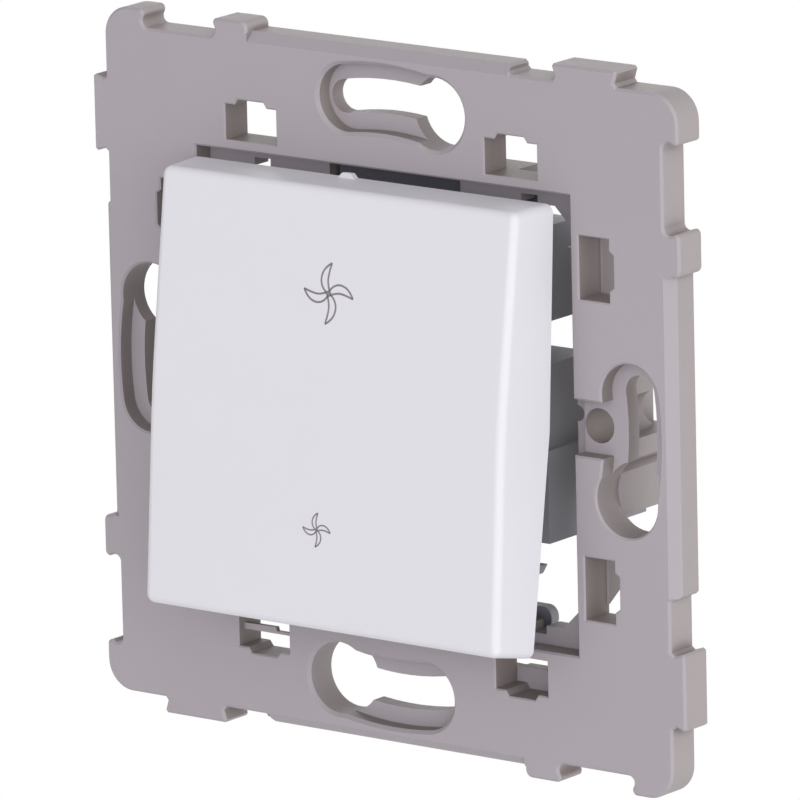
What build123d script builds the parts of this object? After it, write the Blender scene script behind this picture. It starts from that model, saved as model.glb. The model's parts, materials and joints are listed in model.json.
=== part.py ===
from build123d import *
from math import asin, cos, degrees, radians, sin, tan
import os

# Two-speed fan switch for a wall box: support frame, rocker and switch body.
# The wall is the plane Y = 0, the room lies towards -Y and Z is up. Lengths are in millimetres.
# The rocker is drawn with its upper half pressed in.

# Clearances
seat_gap = 0.15  # between pieces that are pushed together
running_gap = 0.05  # radial, between a pin and its hole
moving_gap = 0.4  # between moving pieces that pass each other
contact_gap = 0.1  # left between a plunger or contact and what it presses on

# Support plate
plate_thickness = 3.6
screw_circle = 60.0  # of the wall box's screws
screw_inset = 7.0  # from the aperture to the screw circle
band_width = 11.2  # from the aperture to the plain outer edge
edge_bevel = 0.25  # of the front edges
keyhole_bevel = 0.35  # of the top and bottom keyholes
aperture_bevel = 0.2  # of the aperture and of the side keyholes that run into it
window_bevel = 0.15
corner_cut = 0.3  # off the outline's small corners

# Ganging edge, the same on each of the four sides
corner_rise = 1.9  # of the corner pieces and hooks over the plain edge
corner_radius = 3.0
notch_inset = 9.35  # from the plain outer edge to the notch's middle
notch_root_width = 10.1
notch_mouth_width = 8.0
notch_round = 0.7
hook_width = 3.6
mouth_round = 0.5  # of the notch's outer corners
hook_round = 0.75
middle_rise = 0.9
middle_chamfer = 1.0
middle_gap = 5.75  # between the raised middle and the tab
tab_inset = 9.2  # from the plain outer edge to the tab's middle
tab_root_width = 6.9
tab_end_width = 7.95
tab_rise = 1.65
tab_root_cut = 0.4

# Keyhole slots for the wall-box screws
slot_width = 3.4
recess_width = 6.8
recess_depth = 1.9
upright_slot_reach = 5.4  # from the middle of the top and bottom sides to the slot's narrow end
upright_recess_reach = 4.1
level_slot_reach = 3.9  # the same for the left and right sides
level_recess_reach = 3.65
entry_reach = 6.7  # from the middle of a side to the screw head's entry
entry_diameter = 7.3

# Claw-screw tabs beside the aperture
claw_tab_width = 5.6
claw_hole_diameter = 3.5
claw_hole_inset = 1.8  # from the aperture to the hole's centre

# Clip windows for the trim plate
window_width = 6.35
window_height = 3.6
window_inset = 7.0  # from the aperture's corner to the window's middle
window_gap = 1.0  # from the aperture
window_bump_width = 3.2
window_bump = 0.55
window_bump_slope = 0.4

# Inner rim that the switch body is pushed against
rim_depth = 2.4  # behind the plate's front
rim_thickness = 2.2
rim_side_width = 1.2
rim_end_width = 1.85
rim_corner = 2.3  # cut off each inner corner
rim_notch_width = 2.0
rim_notch_inset = 6.55  # from the aperture's corner to the notch's middle
rim_notch_depth = 0.85
pry_notch_radius = 0.8
pry_notch_height = 0.8

# Rear of the support frame
collar_wall = 1.8
collar_depth = 7.7
collar_low_depth = 3.0  # of the collar's part below the claw guide
collar_inset = 4.7  # from the aperture's corner to the collar's cut-off end
collar_long_inset = 2.2  # to its other end
collar_slope = 4.5  # taken off the collar's long end at its rear edge
collar_low_slope = 1.9  # taken off its other end
collar_ledge = 0.3  # behind the windows' inner edge
guide_width = 7.2
guide_gap = 0.28  # from the claw hole
guide_rise = 1.75  # of the claw guide outside the collar
guide_depth = 10.0
guide_groove = 0.5
claw_web_width = 5.5
claw_web_depth = 9.5
catch_overlap = 2.7  # inside the edge of the switch body's flange
catch_overhang = 3.1  # outside it
catch_thickness = 1.55
catch_bite = 0.6
shelf_thickness = 1.2
shelf_overhang = 1.0  # past each end of its window
shelf_depth = 3.6
shelf_stop_height = 0.9  # of the wall along the shelf's rear edge

# Rocker cap
rocker_tilt = 6.15
pivot_height = 2.5  # of the pivot in front of the plate
cap_gap = 0.6  # between the skirt's edge and the aperture, seen from the front
cap_draft = 5.8
cap_corner = 0.95
cap_front = 7.5  # from the pivot to the crown of the face
cap_back = 0.55  # from the pivot to the middle of the skirt's edge
face_slope = 1.8
skirt_slope = 2.4
crown_radius = 150.0
cap_round = 0.85
cap_wall = 1.5
cap_face_wall = 1.8
clip_width = 3.0
clip_thickness = 1.2
clip_barb = 0.5
clip_spread_x = 10.0
clip_spread_z = 16.8
nub_width = 2.2  # of the moulding's gate, on the skirt's upper edge
nub_height = 0.6
nub_rise = 0.35
nub_slant = 45.0
nub_length = 0.7
nub_offset = -2.4
rest_rib_length = 14.0
rest_rib_thickness = 1.2

# Cradle that carries the cap
pivot_pin_diameter = 3.0
pivot_pin_length = 2.2
cradle_width = 17.6
cradle_height = 24.0
cradle_plate = 1.8
cradle_corner = 1.6
cradle_stand = 1.0  # from the pivot to the plate's back
cheek_thickness = 1.8
cheek_radius = 2.4
tube_radius = 3.0
tube_length = 8.3  # behind the pivot

# Plunger and its spring
plunger_diameter = 3.7
plunger_reach = 11.5  # from the pivot to the plunger's tip
plunger_length = 7.0
nose_length = 1.6
nose_diameter = 0.6
tube_floor = 0.5  # from the pivot to the bottom of the bore, towards the room
spring_wire = 0.35  # square
spring_diameter = 2.8
spring_turns = 3
spring_end_gap = 0.05

# See-saw blade and its contacts
blade_tilt = 6.0
blade_width = 5.0
blade_length = 23.0
blade_thickness = 1.0
knife_thickness = 0.9
tip_inset = 2.0  # from the blade's end to the tip's centre
tip_diameter = 3.0
tip_height = 0.8

# Brass strips
strip_thickness = 0.8
strip_width = 4.0
knife_width = 4.0
leaf_length = 3.0

# Pillar terminals
terminal_width = 6.4
terminal_height = 4.4
terminal_length = 7.0
terminal_front = 6.2  # behind the wall plane
terminal_inset = 10.6  # from the middle of the switch to the pillar
wire_diameter = 3.2
wire_inset = 2.4  # from the pillar's inner face to the wire
screw_diameter = 3.0
screw_slot_width = 0.6
screw_slot_depth = 0.7
screw_access_diameter = 4.2

# Switch body
body_wall = 1.2
lower_wing_wall = 2.3  # above and below the lower terminals
upper_wing_wall = 0.8  # above the upper terminal
cover_front_wall = 1.4
cover_front = 1.6  # in front of the wall plane
flange_thickness = 1.2
flange_width = 22.0
flange_overlap = 1.1  # over the rim's back
flange_ear_reach = 16.4  # of the flange's corner behind the rim's upper right notch
flange_ear_height = 2.4
foot_width = 32.9
foot_height = 2.35
foot_corner = 1.1
lug_width = 30.4
lug_height = 1.0
lug_slant = 60.0
lug_drop = 3.2  # from the bottom of the lower wings to the lugs
tongue_width = 15.2
tongue_gap = 0.45  # between the tongues' ends and the rim
tongue_inset = 1.0  # of the tongues' front behind the rim's
chamber_width = 16.0
chamber_floor_wall = 1.5
upper_terminal_height = 13.0
lower_terminal_height = -8.05
upper_wing_rise = 2.8  # of the cover's wing above the terminal chamber behind it
upper_lip_depth = 0.8  # of that wing's top, behind the cover's back
middle_wing_top = 4.9
middle_wing_step = 0.75  # of the terminal chambers outside the middle wings
middle_wing_depth = 6.9
ear_thickness = 2.0
ear_radius = 3.0

# Places that follow from the sizes above
screw_radius = screw_circle / 2
half_aperture = screw_radius - screw_inset
aperture_size = 2 * half_aperture
plain_edge = half_aperture + band_width
corner_edge = plain_edge + corner_rise
middle_edge = plain_edge + middle_rise
tab_edge = plain_edge + tab_rise
notch_offset = plain_edge - notch_inset
tab_offset = plain_edge - tab_inset
window_offset = half_aperture - window_inset
rim_notch_offset = half_aperture - rim_notch_inset
claw_hole_x = half_aperture + claw_hole_inset
rim_front = rim_depth - plate_thickness
rim_back = rim_front + rim_thickness
collar_outer = half_aperture + window_gap + collar_ledge
collar_inner = collar_outer - collar_wall
collar_end = half_aperture - collar_inset
collar_long_end = half_aperture - collar_long_inset
guide_top = -claw_hole_diameter / 2 - guide_gap
guide_bottom = guide_top - guide_width
claw_web_outer = claw_hole_x - claw_hole_diameter / 2
cap_back_size = aperture_size - 2 * cap_gap
pivot_y = -plate_thickness - pivot_height
cover_back = rim_back + flange_thickness
flange_half = half_aperture - rim_end_width + flange_overlap
blade_y = pivot_y + plunger_reach + contact_gap + blade_thickness
blade_half = blade_length / 2
tip_offset = blade_half - tip_inset
tip_swing = (tip_offset + tip_diameter / 2) * sin(radians(blade_tilt))
fixed_tip_y = blade_y + tip_height * cos(radians(blade_tilt)) + tip_swing + contact_gap
strip_y = fixed_tip_y + tip_height
floor_y = strip_y + strip_thickness
terminal_back = terminal_front + terminal_length
terminal_outer = terminal_inset + terminal_width
wing_reach = terminal_outer + seat_gap + body_wall
pocket_half = terminal_height / 2 + seat_gap
upper_wing_low = upper_terminal_height - pocket_half - body_wall
upper_wing_high = upper_terminal_height + pocket_half + upper_wing_wall
lower_wing_low = lower_terminal_height - pocket_half - lower_wing_wall
lower_wing_high = lower_terminal_height + pocket_half + lower_wing_wall
middle_wing_reach = wing_reach - middle_wing_step
wire_x = terminal_inset + wire_inset
screw_y = terminal_front + terminal_length / 2
ear_inner = cradle_width / 2 + moving_gap
chamber_half = chamber_width / 2 - body_wall
chamber_top = upper_terminal_height + strip_width / 2 + seat_gap
chamber_bottom = -blade_half - moving_gap
pocket_start = terminal_inset - strip_thickness - seat_gap
pocket_end = terminal_outer + seat_gap
tube_slot_half = tube_radius + moving_gap + tube_length * sin(radians(rocker_tilt))


def room_face(y):
    """Plane at depth y that faces the room, with X to the right and Z up."""
    return Plane.XZ.offset(-y)


def leaning_face(y, lean):
    """The same plane through the middle of the switch at depth y, its top leaning towards the wall."""
    return Plane(origin=(0, y, 0), x_dir=(1, 0, 0), z_dir=(0, -cos(radians(lean)), sin(radians(lean))))


def leaning_side(y, lean):
    """Plane of the side view that goes with leaning_face: X is depth, Y is height, from the middle."""
    return Plane(origin=(0, y, 0), x_dir=(0, cos(radians(lean)), -sin(radians(lean))), z_dir=(1, 0, 0))


rocker_face = leaning_face(pivot_y, rocker_tilt)
rocker_side = leaning_side(pivot_y, rocker_tilt)
blade_face = leaning_face(blade_y, -blade_tilt)
blade_side = leaning_side(blade_y, -blade_tilt)


# Outline pieces of one side of the plate, drawn for the top side
notch_left = -notch_offset - notch_root_width / 2
notch_right = -notch_offset + notch_root_width / 2
mouth_left = -notch_offset - notch_mouth_width / 2
mouth_right = -notch_offset + notch_mouth_width / 2
hook_end = notch_right + hook_width
middle_end = tab_offset - tab_root_width / 2 - middle_gap
edge_root = plain_edge - corner_rise

corner_piece = [
    (-plain_edge, edge_root),
    (notch_left, edge_root),
    (notch_left, plain_edge),
    (mouth_left, corner_edge),
    (-plain_edge, corner_edge),
]
hook_piece = [
    (notch_right, edge_root),
    (hook_end, edge_root),
    (hook_end, corner_edge),
    (mouth_right, corner_edge),
    (notch_right, plain_edge),
]
middle_piece = [
    (hook_end, edge_root),
    (middle_end, edge_root),
    (middle_end, middle_edge),
    (hook_end, middle_edge),
]
tab_piece = [
    (tab_offset - tab_root_width / 2, edge_root),
    (tab_offset + tab_root_width / 2, edge_root),
    (tab_offset + tab_root_width / 2, plain_edge),
    (tab_offset + tab_end_width / 2, tab_edge),
    (tab_offset - tab_end_width / 2, tab_edge),
    (tab_offset - tab_root_width / 2, plain_edge),
]
window_low = half_aperture + window_gap
window_high = window_low + window_height
window_piece = [
    (-window_width / 2, window_low),
    (window_width / 2, window_low),
    (window_width / 2, window_high),
    (window_bump_width / 2 + window_bump_slope, window_high),
    (window_bump_width / 2, window_high + window_bump),
    (-window_bump_width / 2, window_high + window_bump),
    (-window_bump_width / 2 - window_bump_slope, window_high),
    (-window_width / 2, window_high),
]

# Keyholes, on the screw circle
entry_angle = degrees(asin(entry_reach / screw_radius))
entry_place = (entry_reach, screw_radius * cos(radians(entry_angle)))


def keyhole_lines(upright_reach, level_reach):
    """Centre lines of the four keyholes, each from its entry to its narrow end."""
    lines = []
    for side_angle, reach in ((0, level_reach), (90, upright_reach), (180, level_reach), (270, upright_reach)):
        narrow_angle = degrees(asin(reach / screw_radius))
        lines.append(CenterArc((0, 0), screw_radius, side_angle - entry_angle, entry_angle + narrow_angle))
    return lines


slot_lines = keyhole_lines(upright_slot_reach, level_slot_reach)
recess_lines = keyhole_lines(upright_recess_reach, level_recess_reach)


def keyholes(lines, width):
    """Outlines of the four keyholes, with a slot of the given width along each line."""
    for line in lines:
        SlotArc(line, width)
    with PolarLocations(0, 4):
        with Locations(entry_place):
            Circle(entry_diameter / 2)


def corners_at(outline, x, y):
    """Corners of the plate's outline at a place on the top side and at the same place on the other sides."""
    places = [Vector(x, y), Vector(y, -x), Vector(-x, -y), Vector(-y, x)]
    return outline.vertices().filter_by(
        lambda corner: min((Vector(corner) - place).length for place in places) < corner_cut / 4
    )


with BuildPart() as middle_bevel:
    with BuildSketch(Plane.YZ.offset(hook_end)):
        with BuildLine():
            Polyline(
                (-plate_thickness, middle_edge),
                (middle_chamfer - plate_thickness, middle_edge),
                (-plate_thickness, middle_edge - middle_chamfer),
                close=True,
            )
        make_face()
    extrude(amount=middle_end - hook_end)

with BuildPart() as support_frame:
    # Plate with its ganging edges
    with BuildSketch(room_face(0)) as plate_outline:
        Rectangle(2 * plain_edge, 2 * plain_edge)
        with PolarLocations(0, 4):
            Polygon(*corner_piece, align=None)
            Polygon(*hook_piece, align=None)
            Polygon(*middle_piece, align=None)
            Polygon(*tab_piece, align=None)
        rounded_corners = [
            (-plain_edge, corner_edge, corner_radius),
            (notch_left, plain_edge, notch_round),
            (notch_right, plain_edge, notch_round),
            (mouth_left, corner_edge, mouth_round),
            (mouth_right, corner_edge, mouth_round),
            (hook_end, corner_edge, hook_round),
        ]
        for x, y, radius in rounded_corners:
            fillet(corners_at(plate_outline, x, y), radius)
        cut_corners = [
            (middle_end, middle_edge, corner_cut),
            (middle_end, plain_edge, corner_cut),
            (tab_offset - tab_root_width / 2, plain_edge, tab_root_cut),
            (tab_offset + tab_root_width / 2, plain_edge, tab_root_cut),
            (tab_offset - tab_end_width / 2, tab_edge, corner_cut),
            (tab_offset + tab_end_width / 2, tab_edge, corner_cut),
        ]
        for x, y, cut in cut_corners:
            chamfer(corners_at(plate_outline, x, y), cut)
    extrude(amount=plate_thickness)
    chamfer(support_frame.faces().sort_by(Axis.Y)[0].edges(), edge_bevel)
    for quarter_turn in (0, 90, 180, 270):
        add(middle_bevel.part, rotation=(0, quarter_turn, 0), mode=Mode.SUBTRACT)
    # Aperture, keyholes and windows
    with BuildSketch(room_face(0)):
        Rectangle(aperture_size, aperture_size)
        keyholes(slot_lines, slot_width)
    extrude(amount=plate_thickness, mode=Mode.SUBTRACT)
    with BuildSketch(room_face(0)):
        with PolarLocations(0, 4):
            with Locations((-window_offset, 0), (window_offset, 0)):
                Polygon(*window_piece, align=None)
    extrude(amount=plate_thickness, mode=Mode.SUBTRACT)
    # Sunk seats of the screw heads, and the claw tabs
    with BuildSketch(room_face(-plate_thickness)):
        keyholes(recess_lines, recess_width)
        Rectangle(screw_circle, claw_tab_width)
    extrude(amount=-recess_depth, mode=Mode.SUBTRACT)
    openings = support_frame.faces().sort_by(Axis.Y)[0].inner_wires().sort_by(SortBy.LENGTH)
    opening_bevels = [window_bevel] * 8 + [keyhole_bevel] * 2 + [aperture_bevel]
    for opening, bevel in zip(openings, opening_bevels):
        chamfer(opening.edges(), bevel)
    # Inner rim
    with BuildSketch(room_face(rim_back)) as rim_outline:
        Rectangle(aperture_size + window_gap, aperture_size + window_gap)
        Rectangle(aperture_size - 2 * rim_side_width, aperture_size - 2 * rim_end_width, mode=Mode.SUBTRACT)
        chamfer(rim_outline.vertices().sort_by_distance((0, 0, 0))[:4], rim_corner)
        with GridLocations(0, aperture_size - rim_end_width, 1, 2):
            Rectangle(tongue_width + 2 * tongue_gap, rim_end_width, mode=Mode.SUBTRACT)
        with GridLocations(2 * rim_notch_offset, aperture_size - 2 * rim_end_width, 2, 2):
            Rectangle(rim_notch_width, 2 * rim_notch_depth, mode=Mode.SUBTRACT)
        with PolarLocations(0, 2):
            with Locations((half_aperture - rim_side_width, pry_notch_height)):
                Circle(pry_notch_radius, mode=Mode.SUBTRACT)
    extrude(amount=rim_thickness)
    # Collar walls beside the switch body, and the claw guides
    with BuildSketch(Plane.YZ.offset(collar_inner)):
        with BuildLine():
            Polyline(
                (0, -collar_end),
                (collar_low_depth, collar_low_slope - collar_end),
                (collar_low_depth, guide_bottom),
                (collar_depth, guide_bottom),
                (collar_depth, collar_long_end - collar_slope),
                (0, collar_long_end),
                close=True,
            )
        make_face()
    right_collar = extrude(amount=collar_wall)
    add(right_collar, rotation=(0, 180, 0))
    with BuildSketch(room_face(guide_depth)):
        with PolarLocations(0, 2):
            with Locations((collar_inner, guide_top)):
                Rectangle(collar_wall + guide_rise, guide_width, align=(Align.MIN, Align.MAX))
            with Locations((collar_outer + guide_rise, guide_top - guide_width / 3)):
                RegularPolygon(guide_groove, 4, mode=Mode.SUBTRACT)
    extrude(amount=guide_depth)
    with BuildSketch(room_face(claw_web_depth)):
        with PolarLocations(0, 2):
            with Locations((collar_inner, 0)):
                Rectangle(claw_web_outer - collar_inner, claw_web_width, align=(Align.MIN, Align.CENTER))
    extrude(amount=claw_web_depth)
    with BuildSketch(room_face(guide_depth)):
        with GridLocations(2 * claw_hole_x, 0, 2, 1):
            Circle(claw_hole_diameter / 2)
    extrude(amount=guide_depth + plate_thickness, mode=Mode.SUBTRACT)
    # Shelf behind the lower right window, with a stop along its rear edge
    with BuildSketch(Plane.YZ.offset(window_offset - window_width / 2 - shelf_overhang)):
        with BuildLine():
            Polyline(
                (0, -window_high),
                (shelf_depth - shelf_thickness, -window_high),
                (shelf_depth - shelf_thickness, shelf_stop_height - window_high),
                (shelf_depth, shelf_stop_height - window_high),
                (shelf_depth, -window_high - shelf_thickness),
                (0, -window_high - shelf_thickness),
                close=True,
            )
        make_face()
    extrude(amount=window_width + 2 * shelf_overhang)
    # Snap catches behind the switch body's flange
    catch_y = cover_back + seat_gap
    catch_z = flange_half + seat_gap
    with BuildSketch(Plane.YZ.offset(flange_width / 2 - catch_overlap)):
        with BuildLine():
            Polyline(
                (0, catch_z),
                (catch_y, catch_z),
                (catch_y, catch_z - catch_bite),
                (catch_y + 2 * catch_bite, catch_z),
                (catch_y + 2 * catch_bite, catch_z + catch_thickness),
                (0, catch_z + catch_thickness),
                close=True,
            )
        make_face()
    catches = extrude(amount=catch_overlap + catch_overhang)
    right_catches = [catches, mirror(catches, about=Plane.XY)]
    mirror(right_catches, about=Plane.YZ)
support_frame.part.label = "support_frame"


def cap_block(back_size, front, back, crown):
    """Drafted block of the rocker, with two sloping faces in front and two sloping edges behind."""
    reach = cap_back_size
    with BuildPart() as block:
        with BuildSketch(rocker_face.offset(back)):
            Rectangle(back_size, back_size)
        extrude(amount=front - back, taper=cap_draft)
        with BuildSketch(rocker_side) as profile:
            with BuildLine():
                Polyline(
                    (-front, 0),
                    (reach * tan(radians(face_slope)) - front, reach),
                    (-reach * tan(radians(skirt_slope)) - back, reach),
                    (-back, 0),
                    (-reach * tan(radians(skirt_slope)) - back, -reach),
                    (reach * tan(radians(face_slope)) - front, -reach),
                    close=True,
                )
            make_face()
            fillet(profile.vertices().sort_by_distance((-front, 0))[0], crown)
        extrude(amount=reach, both=True, mode=Mode.INTERSECT)
        fillet(block.edges().sort_by(SortBy.LENGTH)[:4], cap_corner)
    return block


cap_solid = cap_block(cap_back_size, cap_front, cap_back, crown_radius)
cap_cavity = cap_block(
    cap_back_size - 2 * cap_wall * (1 - tan(radians(cap_draft))),
    cap_front - cap_face_wall,
    cap_back - cap_wall,
    crown_radius - cap_face_wall,
)
clip_back = cradle_stand - running_gap
clip_end = clip_back - clip_thickness
cap_inside = cap_front - cap_face_wall / 2

with BuildPart() as rocker_cap:
    add(cap_solid.part)
    front_faces = rocker_cap.faces().sort_by(Axis(rocker_face.origin, rocker_face.z_dir))[-3:]
    edge_reach = cap_back_size / 4
    face_edges = front_faces.edges().filter_by(
        lambda edge: max(abs(edge.center().X), abs(edge.center().Z)) > edge_reach
    )
    fillet(face_edges, cap_round)
    add(cap_cavity.part, mode=Mode.SUBTRACT)
    # Gate left on the upper edge of the skirt
    skirt_edge = cap_back + cap_back_size / 2 * tan(radians(skirt_slope))
    with BuildSketch(rocker_face.offset(skirt_edge)):
        with Locations((nub_offset, cap_back_size / 2 + nub_rise)):
            Trapezoid(nub_width, nub_height, nub_slant, align=(Align.CENTER, Align.MAX))
    extrude(amount=nub_length)
    # Clips that reach through the cradle, and the ribs that rest on it
    with BuildSketch(rocker_face.offset(clip_end)):
        with GridLocations(clip_spread_x, clip_spread_z, 2, 2):
            Rectangle(clip_width, clip_thickness)
    extrude(amount=cap_inside - clip_end)
    with BuildSketch(rocker_face.offset(clip_end)):
        with GridLocations(clip_spread_x, clip_spread_z + clip_thickness, 2, 2):
            Rectangle(clip_width, 2 * clip_barb)
    extrude(amount=clip_back - clip_end)
    with BuildSketch(rocker_face.offset(cradle_stand + cradle_plate)):
        with GridLocations(0, cradle_height - 2 * rest_rib_thickness, 1, 2):
            Rectangle(rest_rib_length, rest_rib_thickness)
    extrude(amount=cap_inside - cradle_stand - cradle_plate)
rocker_cap.part.label = "rocker_cap"

with BuildPart() as rocker_cradle:
    with BuildSketch(rocker_face.offset(cradle_stand)):
        RectangleRounded(cradle_width, cradle_height, cradle_corner)
        with GridLocations(clip_spread_x, clip_spread_z, 2, 2):
            Rectangle(clip_width + 2 * seat_gap, clip_thickness + 2 * running_gap, mode=Mode.SUBTRACT)
    extrude(amount=cradle_plate)
    # Cheeks with the pivot pins
    with BuildSketch(rocker_side.offset(cradle_width / 2 - cheek_thickness)):
        Circle(cheek_radius)
        with Locations((-cradle_stand / 2 - cradle_plate / 4, 0)):
            Rectangle(cradle_stand + cradle_plate / 2, 2 * cheek_radius)
    cheek = extrude(amount=cheek_thickness)
    with BuildSketch(rocker_side.offset(cradle_width / 2)):
        Circle(pivot_pin_diameter / 2)
    pin = extrude(amount=pivot_pin_length)
    mirror([cheek, pin], about=Plane.YZ)
    # Tube of the plunger
    with BuildSketch(rocker_face.offset(-tube_length)):
        Circle(tube_radius)
    extrude(amount=tube_length + cradle_stand + cradle_plate)
    with BuildSketch(rocker_face.offset(-tube_length)):
        Circle(plunger_diameter / 2 + running_gap)
    extrude(amount=tube_length + tube_floor, mode=Mode.SUBTRACT)
rocker_cradle.part.label = "rocker_cradle"

plunger_back = plunger_reach - plunger_length
with BuildPart() as plunger:
    with BuildSketch(rocker_side):
        with BuildLine():
            Polyline(
                (plunger_back, 0),
                (plunger_back, plunger_diameter / 2),
                (plunger_reach - nose_length, plunger_diameter / 2),
                (plunger_reach, nose_diameter / 2),
                (plunger_reach, 0),
                close=True,
            )
        make_face()
    revolve(axis=Axis((0, pivot_y, 0), rocker_side.x_dir))
plunger.part.label = "plunger"

spring_start = spring_end_gap + spring_wire / 2 - tube_floor
spring_length = plunger_back - spring_end_gap - spring_wire / 2 - spring_start
with BuildPart() as plunger_spring:
    with BuildLine():
        spring_path = Helix(
            pitch=spring_length / spring_turns,
            height=spring_length,
            radius=(spring_diameter - spring_wire) / 2,
            center=Vector(0, pivot_y, 0) + rocker_side.x_dir * spring_start,
            direction=rocker_side.x_dir,
        )
    with BuildSketch(Plane(origin=spring_path @ 0, z_dir=spring_path % 0)):
        Rectangle(spring_wire, spring_wire)
    sweep(path=spring_path, is_frenet=True)
plunger_spring.part.label = "plunger_spring"

with BuildPart() as contact_blade:
    with BuildSketch(blade_face):
        SlotOverall(blade_length, blade_width, rotation=90)
    extrude(amount=blade_thickness)
    with BuildSketch(blade_side):
        Circle(knife_thickness / 2 + running_gap)
    extrude(amount=blade_width, both=True, mode=Mode.SUBTRACT)
contact_blade.part.label = "contact_blade"


def contact_tip(face, height_place):
    """Silver contact button that stands on a face, at a height above the middle."""
    with BuildPart() as tip:
        with BuildSketch(face):
            with Locations((0, height_place)):
                Circle(tip_diameter / 2)
        extrude(amount=tip_height)
    return tip


blade_back = Plane(origin=blade_face.origin, x_dir=blade_face.x_dir, z_dir=-blade_face.z_dir)
upper_blade_tip = contact_tip(blade_back, -tip_offset)
upper_blade_tip.part.label = "upper_blade_tip"
lower_blade_tip = contact_tip(blade_back, tip_offset)
lower_blade_tip.part.label = "lower_blade_tip"
high_speed_tip = contact_tip(room_face(strip_y), tip_offset)
high_speed_tip.part.label = "high_speed_tip"
low_speed_tip = contact_tip(room_face(strip_y), -tip_offset)
low_speed_tip.part.label = "low_speed_tip"


def strip_outline(side, start_height, end_height):
    """Flat shape of a brass strip from the middle of the chamber out to its terminal."""
    turn = side * (chamber_half - seat_gap - strip_width / 2)
    with Locations((0, start_height)):
        Rectangle(strip_width, strip_width)
    with Locations((0, start_height - strip_width / 2)):
        Rectangle(
            abs(turn) + strip_width / 2,
            strip_width,
            align=(Align.MIN if side > 0 else Align.MAX, Align.MIN),
        )
    with Locations((turn, 0)):
        with Locations((0, (start_height + end_height) / 2)):
            Rectangle(strip_width, abs(end_height - start_height) + strip_width)
        with Locations((0, end_height)):
            Rectangle(
                terminal_inset - abs(turn),
                strip_width,
                align=(Align.MIN if side > 0 else Align.MAX, Align.CENTER),
            )


def contact_strip(side, start_height, end_height):
    """Brass strip on the chamber's floor, with a leaf bent back along its terminal."""
    with BuildPart() as strip:
        with BuildSketch(room_face(floor_y)):
            strip_outline(side, start_height, end_height)
        extrude(amount=strip_thickness)
        with BuildSketch(room_face(floor_y)):
            with Locations((side * (terminal_inset - strip_thickness / 2), end_height)):
                Rectangle(strip_thickness, strip_width)
        extrude(amount=strip_thickness - leaf_length)
    return strip


high_speed_strip = contact_strip(1, tip_offset, upper_terminal_height)
high_speed_strip.part.label = "high_speed_strip"
low_speed_strip = contact_strip(1, -tip_offset, lower_terminal_height)
low_speed_strip.part.label = "low_speed_strip"

knife_edge_y = blade_y
with BuildPart() as common_bracket:
    add(contact_strip(-1, 0, lower_terminal_height).part)
    with BuildSketch(Plane.YZ.offset(-knife_width / 2)):
        with Locations((knife_edge_y, 0)):
            Circle(knife_thickness / 2)
            Rectangle(strip_y - knife_edge_y, knife_thickness, align=(Align.MIN, Align.CENTER))
    extrude(amount=knife_width)
common_bracket.part.label = "common_bracket"


def pillar_terminal(side, height):
    """Brass pillar with a wire hole from behind and a tapped hole from outside."""
    with BuildPart() as pillar:
        with BuildSketch(room_face(terminal_back)):
            with Locations((side * (terminal_inset + terminal_width / 2), height)):
                Rectangle(terminal_width, terminal_height)
            with Locations((side * wire_x, height)):
                Circle(wire_diameter / 2, mode=Mode.SUBTRACT)
        extrude(amount=terminal_length)
        with BuildSketch(Plane.YZ.offset(side * wire_x)):
            with Locations((screw_y, height)):
                Circle(screw_diameter / 2 + running_gap)
        extrude(amount=side * terminal_width, mode=Mode.SUBTRACT)
    return pillar


def terminal_screw(side, height):
    """Slotted grub screw that ends just outside the wire hole."""
    screw_start = wire_x + wire_diameter / 2 + contact_gap
    screw_end = wing_reach - seat_gap
    with BuildPart() as screw:
        with BuildSketch(Plane.YZ.offset(side * screw_start)):
            with Locations((screw_y, height)):
                Circle(screw_diameter / 2)
        extrude(amount=side * (screw_end - screw_start))
        with BuildSketch(Plane.YZ.offset(side * screw_end)):
            with Locations((screw_y, height)):
                Rectangle(screw_slot_width, screw_diameter)
        extrude(amount=-side * screw_slot_depth, mode=Mode.SUBTRACT)
    return screw


terminal_places = [
    ("common", -1, lower_terminal_height),
    ("high_speed", 1, upper_terminal_height),
    ("low_speed", 1, lower_terminal_height),
]
terminals = {}
for terminal_name, side, height in terminal_places:
    terminals[terminal_name + "_terminal"] = pillar_terminal(side, height)
    terminals[terminal_name + "_screw"] = terminal_screw(side, height)
for label, piece in terminals.items():
    piece.part.label = label


def chamber_outline(wall):
    """Outline of the contact chamber with a wall of the given thickness around it."""
    with Locations((0, (chamber_top + chamber_bottom) / 2)):
        Rectangle(2 * (chamber_half + wall), chamber_top - chamber_bottom + 2 * wall)


def terminal_wings(upper_rise):
    """Outlines of the terminal chambers, the upper one raised by a rise."""
    with Locations((0, upper_wing_low)):
        Rectangle(wing_reach, upper_wing_high + upper_rise - upper_wing_low, align=(Align.MIN, Align.MIN))
    with Locations((0, lower_wing_low)):
        Rectangle(2 * wing_reach, lower_wing_high - lower_wing_low, align=(Align.CENTER, Align.MIN))


def middle_wings():
    """Outline of the two shallower wings between the terminal chambers."""
    with Locations((0, lower_wing_high)):
        Rectangle(2 * middle_wing_reach, middle_wing_top - lower_wing_high, align=(Align.CENTER, Align.MIN))


def middle_hollows():
    """Outlines of the hollows in the two shallower wings."""
    hollow_start = chamber_half + body_wall
    hollow_end = middle_wing_reach - body_wall
    with GridLocations(hollow_start + hollow_end, 0, 2, 1):
        with Locations((0, (lower_wing_high + middle_wing_top) / 2)):
            Rectangle(hollow_end - hollow_start, middle_wing_top - lower_wing_high - 2 * body_wall)


def terminal_pockets():
    """Outlines of the hollows for the pillars and the strips' leaves."""
    for _, side, height in terminal_places:
        with Locations((side * (pocket_start + pocket_end) / 2, height)):
            Rectangle(pocket_end - pocket_start, 2 * pocket_half)


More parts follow.
